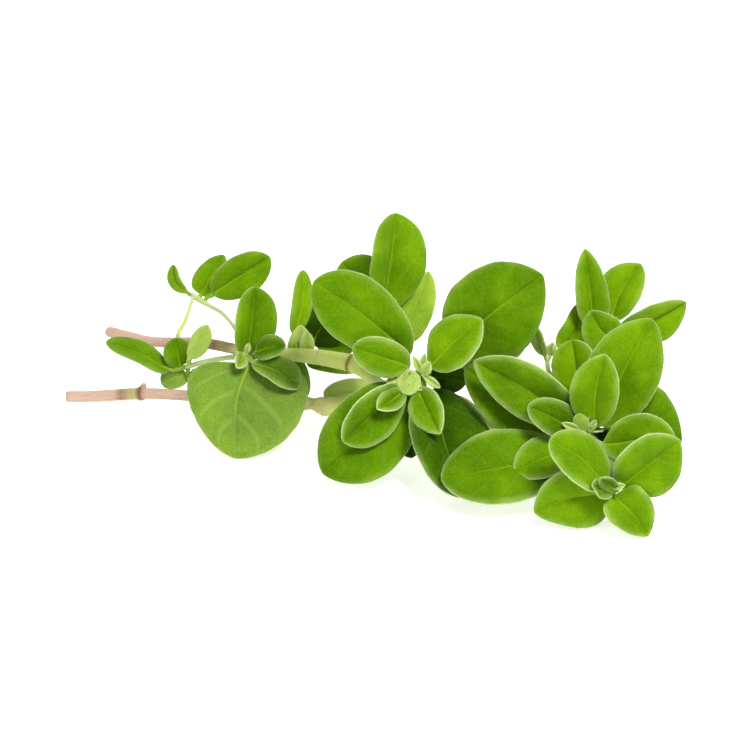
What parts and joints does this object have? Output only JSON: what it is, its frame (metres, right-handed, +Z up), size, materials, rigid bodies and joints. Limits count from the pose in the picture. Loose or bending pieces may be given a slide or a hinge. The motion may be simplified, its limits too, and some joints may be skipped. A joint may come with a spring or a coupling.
{
  "type": "oregano sprig",
  "caption": "Cut sprig of fresh oregano lying on a surface: forked bare stems at one end, rosettes of paired downy oval leaves at the other.",
  "frame": {"origin": "on the surface, under the middle of the sprig's box", "axes": "+Z up; +X along the sprig, from the cut ends of the stems to the leafy heads; -Y towards the side that the leaves face"},
  "size_m": [0.139, 0.0818, 0.049],
  "materials": {
    "stem_pink": "matte, slightly downy",
    "stem_brown": "matte, slightly downy",
    "leaf_green": "velvety, with a pale downy rim",
    "leaf_young": "velvety, with a pale downy rim"
  },
  "bodies": {
    "root": {"main_stem": "stem_pink", "back_stem": "stem_brown", "large_leaf_shoot": "leaf_young", "left_shoot": "leaf_young", "upper_shoot": "leaf_young", "middle_head": "leaf_green", "right_head": "leaf_green", "low_head": "leaf_young", "back_head": "leaf_young"}
  },
  "joints": []
}
